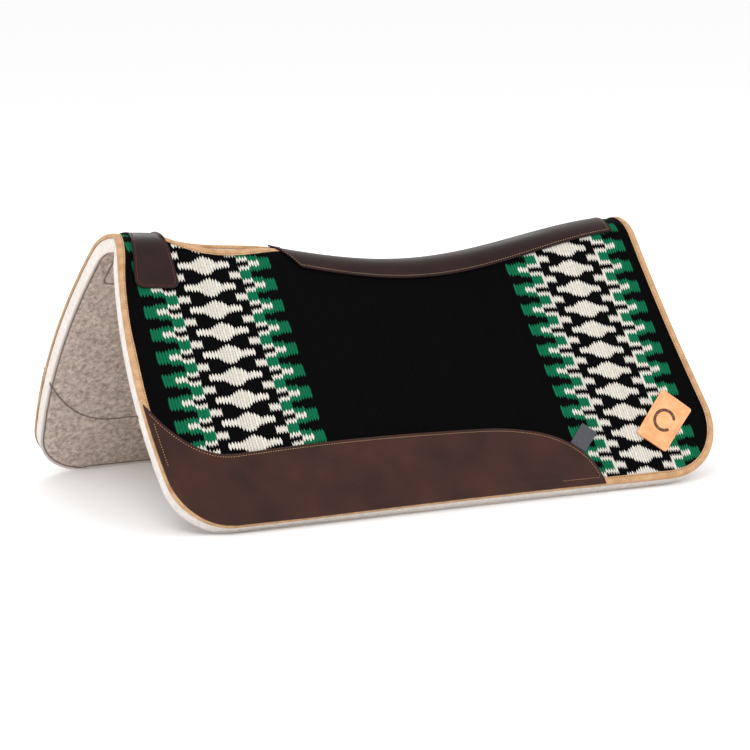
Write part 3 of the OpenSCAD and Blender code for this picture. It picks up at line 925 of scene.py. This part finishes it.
def stitching(name, rows, place, finish, stitch):
    """One piece of stitching from rows of (points, height)."""
    bm = bmesh.new()
    for points, height in rows:
        sew(bm, points, stitch, place, height)
    for face in bm.faces:
        face.smooth = True
    mesh = bpy.data.meshes.new(name)
    bm.to_mesh(mesh)
    bm.free()
    piece = bpy.data.objects.new(name, mesh)
    bpy.context.collection.objects.link(piece)
    piece.data.materials.append(finish)
    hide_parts(name)
    return piece


# Each kind of stitch is (pitch, length, thread radius).
TAPE_STITCH = (0.0042, 0.0027, 0.00042)
WEAR_STITCH = (0.0038, 0.0024, 0.00045)
SPINE_STITCH = (0.0038, 0.0024, 0.00042)
WITHERS_STITCH = (0.0038, 0.0025, 0.00042)
PATCH_STITCH = (0.0042, 0.0026, 0.00042)

random.seed(7)
tan_thread = waxed_thread("waxed_thread_tan", "#c9a57c", "#8f6a45")
brown_thread = waxed_thread("waxed_thread_brown", "#7a5133", "#4c2f1c")
red_thread = waxed_thread("waxed_thread_red", "#9a4034", "#5c1f1a")


def inside_line(depth, points):
    """A line moved in from its edge by a depth."""
    moved = []
    for point, way in steps_along(points, 0.002):
        moved.append(point + Vector((way.y, -way.x)) * depth * drawn_in(point.x, point.y))
    return moved


def on_leather(x, s):
    return rest_on(x, s) + leather_t - 0.0003


def on_tape(x, s):
    return 0.0009


seam_w = binding_w - stitch_in / 2
front_row_in, front_row_top, front_row_low = 0.008, 0.655, 0.80
rear_row_up, rear_row_from = 0.0085, 0.545
edge_line = [p for p in inside_line(seam_w, outline) if p.y > 0.001]
cut_front = next(k for k, p in enumerate(edge_line) if wear_depth(p.x, p.y) > 0 and p.x < 0.3)
cut_rear = next(k for k, p in enumerate(edge_line) if p.x > wear_to + 0.003)
vent_seam = [p for p in inside_line(-seam_w, vent_line)
             if withers_to + 0.003 < p.x < spine_from - 0.002 and p.y > 0.004]
top_line = [(x, drop(x) - wear_height(x)) for x in
            (mix(-0.045, wear_to, math.sin(k / 500 * math.pi / 2)) for k in range(501))]
top_line = [p for p in inside_line(-stitch_in, top_line) if edge_depth(p.x, p.y) > 0.003
            and p.x > left_x(p.y / front_drop) and p.y < drop(p.x) - 0.008]
front_row = [(left_x(v) + front_row_in, v * drop(left_x(v))) for v in
             (mix(front_row_top, front_row_low, k / 40) for k in range(41))]
rear_row = [(x, drop(x) - rear_row_up) for x in
            (mix(rear_row_from, wear_to - 0.004, k / 40) for k in range(41))]
spine_row = ([(spine_from + 0.008, 0.0005)]
             + [(x, spine_width(x) - stitch_in) for x in
                (mix(spine_from + 0.012, spine_to - stitch_in, k / 200) for k in range(201))]
             + [(spine_to - stitch_in, mix(spine_half - stitch_in, 0.0, k / 20))
                for k in range(21)])
withers_low = [withers_drop - stitch_in - 0.009 * (1 - math.sin(math.radians(a)))
               for a in range(0, 91, 9)]


def withers_line(s, f):
    low = corner_in(withers_corner, withers_drop - stitch_in - s + 0.002)
    return mix(front_x(s) + withers_margin + stitch_in + low, withers_to - stitch_in - low, f), s


withers_row = ([withers_line(withers_low[0] * k / 60, 0) for k in range(61)]
               + [withers_line(s, 0) for s in withers_low]
               + [withers_line(s, 1) for s in reversed(withers_low)]
               + [withers_line(withers_low[0] * (1 - k / 60), 1) for k in range(61)])

for half, side in HALVES.items():
    def seat(x, s, t, side=side):
        return off_pad(x, max(0.0, s), t, side)

    bends(stitching("binding_stitching_" + half,
                    [(edge_line[:cut_front], on_tape), (edge_line[cut_rear:], on_tape)],
                    seat, brown_thread, TAPE_STITCH))
    bends(stitching("vent_stitching_" + half, [(vent_seam, on_tape)],
                    seat, brown_thread, TAPE_STITCH))
    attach(stitching("wear_stitching_" + half,
                      [(top_line, on_leather), (front_row, on_leather), (rear_row, on_leather)],
                      seat, tan_thread, WEAR_STITCH), half + "_half")
    bends(stitching("spine_stitching_" + half, [(spine_row, on_leather)],
                    seat, tan_thread, SPINE_STITCH))
    bends(stitching("withers_stitching_" + half, [(withers_row, on_leather)],
                    seat, red_thread, WITHERS_STITCH))


# ---- Maker's patch ---------------------------------------------------------
# A small plate of thick vegetable-tanned leather, sewn on askew near the rear
# corner of the near side. Its burnt mark here is a plain horseshoe.

patch_len, patch_w, patch_t = 0.086, 0.052, 0.003
patch_tilt = math.radians(41)
patch_back, patch_down = 0.062, 0.348
patch_centre = Vector((pad_length - patch_back, patch_down))
shoe_radius, shoe_gap, shoe_stretch = 0.0145, math.radians(38), 0.86
shoe_half, nail_radius, nails = 0.0021, 0.0007, 7


def on_patch(u, w):
    """Place (x, s) on the patch: u along its length, w across it."""
    return (patch_centre + u * Vector((-math.cos(patch_tilt), math.sin(patch_tilt)))
            + w * Vector((math.sin(patch_tilt), math.cos(patch_tilt))))


def from_shoe(u, w):
    """Distance from the middle line of the horseshoe, less half its width."""
    angle = math.atan2(w, u * shoe_stretch)
    reach = math.hypot(w, u * shoe_stretch)
    if abs(angle - math.pi / 2) > shoe_gap and reach > 0:
        return abs(reach - shoe_radius) - shoe_half
    ends = [Vector((math.cos(a) / shoe_stretch, math.sin(a))) * shoe_radius
            for a in (math.pi / 2 - shoe_gap, math.pi / 2 + shoe_gap)]
    return min((Vector((u, w)) - end).length for end in ends) - shoe_half


def from_nails(u, w):
    """Distance from the nearest of the nail holes in the horseshoe."""
    holes = [math.pi / 2 + shoe_gap + (k + 0.5) * (2 * math.pi - 2 * shoe_gap) / nails
             for k in range(nails)]
    return min(math.hypot(u - shoe_radius * math.cos(a) / shoe_stretch,
                          w - shoe_radius * math.sin(a)) for a in holes) - nail_radius


def tooling_leather():
    """Vegetable-tanned leather: warm, bare and matte, with blushes where it has
    darkened, a fine grain, and a burnt mark that browns at its edges."""
    finish = bpy.data.materials.new("vegetable_tanned_leather")
    finish.use_nodes = True
    tree = finish.node_tree
    shader = tree.nodes["Principled BSDF"]
    place = add_node(tree, "ShaderNodeUVMap", uv_map="pattern").outputs["UV"]
    broad = add_node(tree, "ShaderNodeTexNoise", {
        "Vector": place, "Scale": 1 / 0.018, "Detail": 4.0, "Roughness": 0.6})
    fine = add_node(tree, "ShaderNodeTexNoise", {
        "Vector": place, "Scale": 1 / 0.0008, "Detail": 3.0, "Roughness": 0.65})
    tone = add_node(tree, "ShaderNodeValToRGB", {"Fac": broad.outputs["Fac"]})
    tone.color_ramp.elements[0].position = 0.3
    tone.color_ramp.elements[0].color = hex_colour("#d9915c")
    tone.color_ramp.elements[1].position = 0.7
    tone.color_ramp.elements[1].color = hex_colour("#ecb07f")
    burn = add_node(tree, "ShaderNodeAttribute", attribute_name="burn")
    rough_edge = add_node(tree, "ShaderNodeMath", {
        0: fine.outputs["Fac"], 1: 0.0008, 2: burn.outputs["Fac"]}, operation="MULTIPLY_ADD")
    charred = add_node(tree, "ShaderNodeMapRange", {
        "Value": rough_edge.outputs["Value"], "From Min": 0.0002, "From Max": 0.0009,
        "To Min": 0.93, "To Max": 0.0}, interpolation_type="SMOOTHSTEP")
    colour = add_node(tree, "ShaderNodeMix", {
        "Factor": charred.outputs["Result"], "A": tone.outputs["Color"],
        "B": hex_colour("#3b2015")}, data_type="RGBA")
    bump = add_node(tree, "ShaderNodeBump", {
        "Height": fine.outputs["Fac"], "Strength": 0.25, "Distance": 0.0003})
    tree.links.new(colour.outputs["Result"], shader.inputs["Base Color"])
    tree.links.new(bump.outputs["Normal"], shader.inputs["Normal"])
    shader.inputs["Roughness"].default_value = 0.6
    shader.inputs["Specular IOR Level"].default_value = 0.3
    return finish


bm = bmesh.new()
bmesh.ops.create_grid(bm, x_segments=110, y_segments=68, size=0.5)
patch_corner = 0.004
for vert in bm.verts:
    u, w = vert.co.x * patch_len, vert.co.y * patch_w
    over_u = abs(u) - patch_len / 2 + patch_corner
    over_w = abs(w) - patch_w / 2 + patch_corner
    if over_u > 0 and over_w > 0:
        pull = max(over_u, over_w) / math.hypot(over_u, over_w)
        u = math.copysign(patch_len / 2 - patch_corner + over_u * pull, u)
        w = math.copysign(patch_w / 2 - patch_corner + over_w * pull, w)
    vert.co = (u, w, 0)
thicken(bm, patch_t)
round_rim(bm, 0.0007, 3)
burn_layer = bm.verts.layers.float.new("burn")
for vert in bm.verts:
    mark = max(from_shoe(vert.co.x, vert.co.y), -from_nails(vert.co.x, vert.co.y))
    vert[burn_layer] = mark
    if vert.co.z > -0.0001:
        vert.co.z -= 0.0004 * min(1.0, max(0.0, 0.5 - mark / 0.0010))
        rim = min(patch_len / 2 - abs(vert.co.x), patch_w / 2 - abs(vert.co.y))
        vert.co.z -= 0.0004 * math.exp(-((rim - stitch_in) / 0.0009) ** 2)
    vert.co.xy = on_patch(vert.co.x, vert.co.y)
patch = finish_piece("makers_patch", bm,
                     lambda co: off_pad(co.x, co.y, co.z + patch_t, near))
patch.data.materials.append(tooling_leather())
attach(patch, "near_half")
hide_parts("makers_patch")

rim_u, rim_w = patch_len / 2 - stitch_in, patch_w / 2 - stitch_in
patch_rows = [([on_patch(a[0] * rim_u, a[1] * rim_w), on_patch(b[0] * rim_u, b[1] * rim_w)],
               lambda x, s: patch_t - 0.0004)
              for a, b in (((-1, -1), (1, -1)), ((1, -1), (1, 1)), ((1, 1), (-1, 1)),
                           ((-1, 1), (-1, -1)))]
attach(stitching("makers_patch_stitching", patch_rows,
                  lambda x, s, t: off_pad(x, s, t, near), tan_thread,
                  PATCH_STITCH), "near_half")


# ---- Care label ------------------------------------------------------------
# A plain charcoal woven tape, caught under the wear leather's rounded end. It
# curls a little and lifts from its sewn edge.

label_len, label_w, label_t, label_back = 0.036, 0.026, 0.0006, 0.022
label_tilt = math.radians(40)
label_out = Vector((math.cos(label_tilt), -math.sin(label_tilt)))
label_down = Vector((math.sin(label_tilt), math.cos(label_tilt)))
label_x = wear_to - label_back
label_root = Vector((label_x, drop(label_x) - wear_height(label_x))) + 0.002 * label_out


def charcoal_tape():
    """Close-woven polyester label tape: fine ribs across it and a dull shine."""
    finish = bpy.data.materials.new("woven_label_tape")
    finish.use_nodes = True
    tree = finish.node_tree
    shader = tree.nodes["Principled BSDF"]
    place = add_node(tree, "ShaderNodeUVMap", uv_map="pattern").outputs["UV"]
    turn = add_node(tree, "ShaderNodeMapping", {
        "Vector": place, "Rotation": (0, 0, label_tilt)})
    ribs = add_node(tree, "ShaderNodeTexWave", {
        "Vector": turn.outputs["Vector"], "Scale": 1 / 0.0007 / 6.28, "Distortion": 0.4},
        wave_type="BANDS", bands_direction="X")
    cloud = add_node(tree, "ShaderNodeTexNoise", {
        "Vector": place, "Scale": 1 / 0.002, "Detail": 3.0})
    tone = add_node(tree, "ShaderNodeValToRGB", {"Fac": cloud.outputs["Fac"]})
    tone.color_ramp.elements[0].position = 0.3
    tone.color_ramp.elements[0].color = hex_colour("#25272b")
    tone.color_ramp.elements[1].position = 0.7
    tone.color_ramp.elements[1].color = hex_colour("#3c3f45")
    bump = add_node(tree, "ShaderNodeBump", {
        "Height": ribs.outputs["Fac"], "Strength": 0.4, "Distance": 0.0002})
    tree.links.new(tone.outputs["Color"], shader.inputs["Base Color"])
    tree.links.new(bump.outputs["Normal"], shader.inputs["Normal"])
    shader.inputs["Roughness"].default_value = 0.55
    shader.inputs["Sheen Weight"].default_value = 0.2
    return finish


bm = bmesh.new()
bmesh.ops.create_grid(bm, x_segments=40, y_segments=28, size=0.5)
for vert in bm.verts:
    spot = label_root + (vert.co.x + 0.5) * label_len * label_out + vert.co.y * label_w * label_down
    curl = 0.0016 * (vert.co.x + 0.5) ** 2 + 0.0006 * (2 * vert.co.y) ** 2 * (vert.co.x + 0.5)
    vert.co = (spot.x, spot.y, curl)
thicken(bm, label_t)
label = finish_piece("care_label", bm, lambda co: off_pad(co.x, co.y, co.z + 0.0009, near))
label.data.materials.append(charcoal_tape())
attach(label, "label_flap")
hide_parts("care_label")
